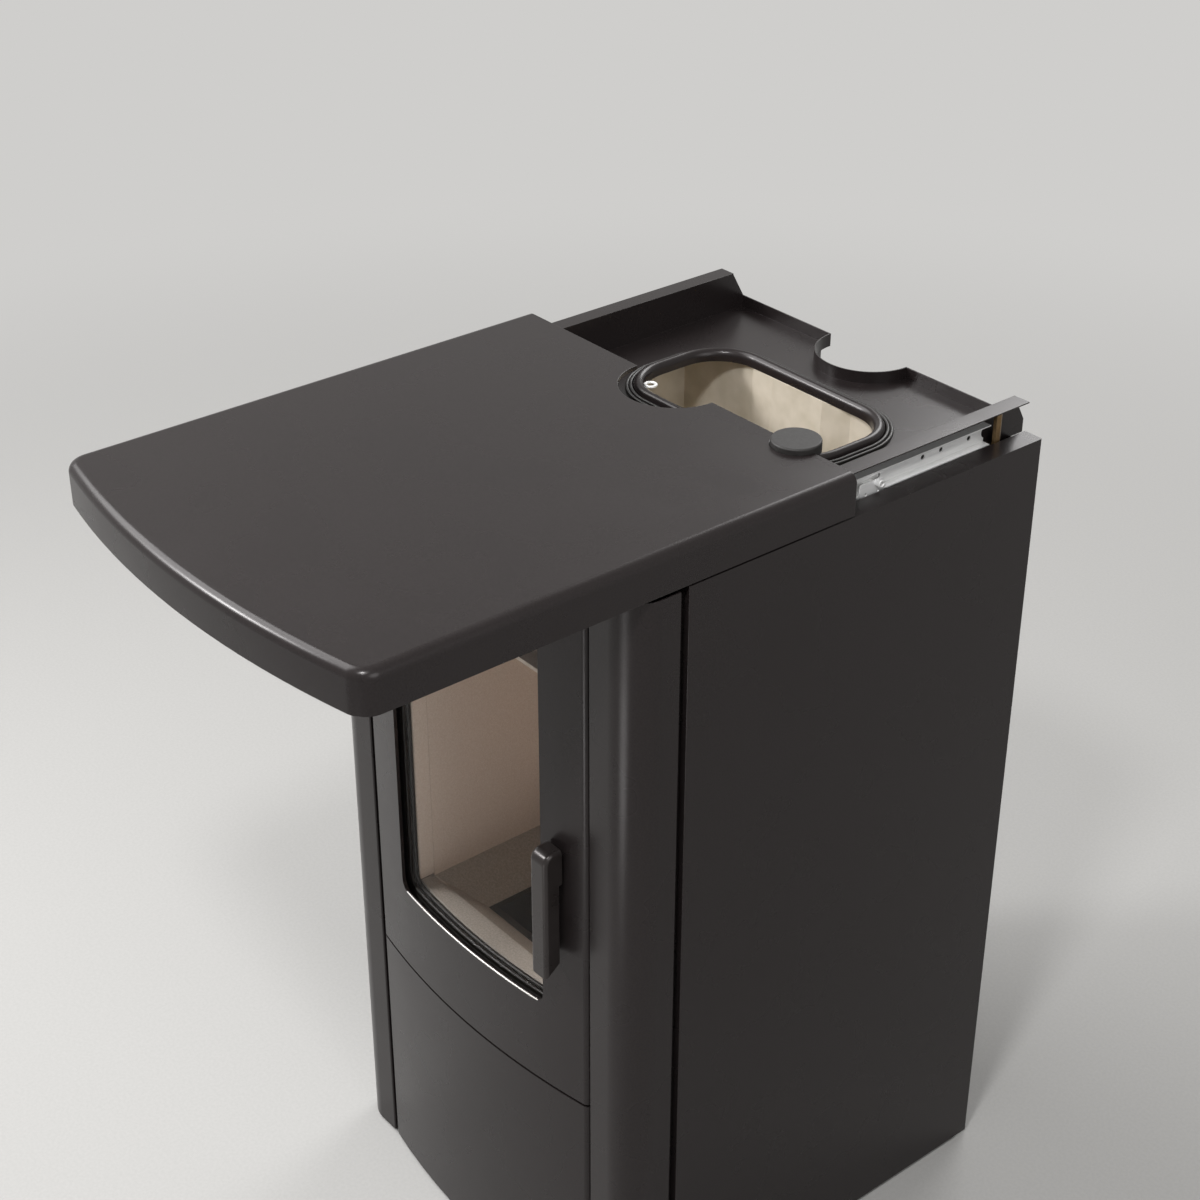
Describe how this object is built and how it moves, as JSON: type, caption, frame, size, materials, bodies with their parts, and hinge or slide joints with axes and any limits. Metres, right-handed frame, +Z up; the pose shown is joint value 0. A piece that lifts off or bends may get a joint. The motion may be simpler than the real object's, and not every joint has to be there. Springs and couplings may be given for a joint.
{
  "type": "pellet stove",
  "caption": "Narrow upright pellet stove with a bowed front, a windowed fire door over a lower door, rounded front posts and a lid that slides forward on drawer slides over the hopper.",
  "frame": {"origin": "on the floor, under the middle of the side panels, on the stove's centre plane", "axes": "+Z up, +Y towards the back with the flue, +X to the right as seen from the front"},
  "size_m": [0.5, 0.911, 0.986],
  "materials": {
    "casing_paint": "satin",
    "stove_black": "matte",
    "zinc_steel": "satin",
    "hopper_sheet": "satin",
    "lining": "matte",
    "cast_iron": "matte",
    "ceramic_glass": "gloss",
    "glass_rope": "matte",
    "seal_rubber": "matte",
    "post_brass": "satin",
    "handle_metal": "satin",
    "knob_plastic": "satin",
    "motor_paint": "satin",
    "black_plastic": "matte",
    "circuit_board": "satin"
  },
  "bodies": {
    "casing": {"air_intake": "stove_black", "ash_pan": "hopper_sheet", "ash_pan_rails": "stove_black", "auger_motor": "motor_paint", "auger_tube": "zinc_steel", "back_panel": "casing_paint", "baffle": "lining", "base_plate": "casing_paint", "column_left": "casing_paint", "column_right": "casing_paint", "control_board": "circuit_board", "exhaust_fan_housing": "stove_black", "exhaust_fan_motor": "motor_paint", "fire_chamber": "stove_black", "flange_posts": "post_brass", "flue_collar": "stove_black", "front_posts": "zinc_steel", "hearth": "lining", "hinge_brackets": "stove_black", "hopper": "hopper_sheet", "hopper_rim": "stove_black", "hopper_seal": "seal_rubber", "igniter": "zinc_steel", "latch_keeper": "zinc_steel", "levelling_feet": "zinc_steel", "lining_back": "lining", "lining_left": "lining", "lining_right": "lining", "magnet_catches": "zinc_steel", "mains_inlet": "black_plastic", "pellet_chute": "stove_black", "screws": "zinc_steel", "side_panel_left": "casing_paint", "side_panel_right": "casing_paint", "slide_fixed_left": "zinc_steel", "slide_fixed_right": "zinc_steel", "smoke_duct": "stove_black", "top_pan": "casing_paint"},
    "slides_middle": {"slide_middle_left": "zinc_steel", "slide_middle_right": "zinc_steel"},
    "lid": {"lid": "casing_paint", "slide_inner_left": "zinc_steel", "slide_inner_right": "zinc_steel", "lid_brackets": "zinc_steel"},
    "knob": {"knob": "knob_plastic"},
    "door": {"door_skin": "casing_paint", "door_glass": "ceramic_glass", "glass_gaskets": "glass_rope", "door_inner_frame": "stove_black", "door_rope_seal": "glass_rope", "door_hinge_pins": "zinc_steel"},
    "handle": {"door_handle": "handle_metal", "latch_cam": "zinc_steel"},
    "lower_door": {"lower_door": "casing_paint", "lower_door_hinge_pins": "zinc_steel"},
    "burn_pot": {"burn_pot": "cast_iron"},
    "auger": {"auger": "zinc_steel"},
    "exhaust_fan_wheel": {"exhaust_fan_wheel": "zinc_steel"},
    "mains_rocker": {"mains_rocker": "black_plastic"}
  },
  "joints": [
    {"name": "lid_slide", "type": "slide", "parent": "casing", "child": "lid", "axis": [0, 1, 0], "range_m": [0, 0.28]},
    {"name": "slides_middle_travel", "type": "slide", "parent": "casing", "child": "slides_middle", "axis": [0, 1, 0], "range_m": [0, 0.14]},
    {"name": "knob_turn", "type": "hinge", "parent": "lid", "child": "knob", "pos_m": [0.167, -0.029, 0.98], "axis": [0, 0, 1], "continuous": true},
    {"name": "door_hinge", "type": "hinge", "parent": "casing", "child": "door", "pos_m": [-0.174, -0.2935, 0.62], "axis": [0, 0, -1], "range_deg": [0, 95]},
    {"name": "handle_turn", "type": "hinge", "parent": "door", "child": "handle", "pos_m": [0.148, -0.32, 0.6085], "axis": [0, -1, 0], "range_deg": [0, 60]},
    {"name": "lower_door_hinge", "type": "hinge", "parent": "casing", "child": "lower_door", "pos_m": [-0.174, -0.2935, 0.156], "axis": [0, 0, -1], "range_deg": [0, 95]},
    {"name": "burn_pot_lift", "type": "slide", "parent": "casing", "child": "burn_pot", "axis": [0, 0, 1], "range_m": [0, 0.06]},
    {"name": "auger_turn", "type": "hinge", "parent": "casing", "child": "auger", "pos_m": [0, 0.125, 0.424], "axis": [0, -0.9778, 0.2095], "continuous": true},
    {"name": "fan_turn", "type": "hinge", "parent": "casing", "child": "exhaust_fan_wheel", "pos_m": [-0.01, 0.04, 0.185], "axis": [1, 0, 0], "continuous": true},
    {"name": "rocker_tilt", "type": "hinge", "parent": "casing", "child": "mains_rocker", "pos_m": [-0.16, 0.232, 0.124], "axis": [1, 0, 0], "range_deg": [-12, 0]}
  ],
  "couplings": [
    {"joint": "slides_middle_travel", "follows": "lid_slide", "ratio": 0.5}
  ]
}
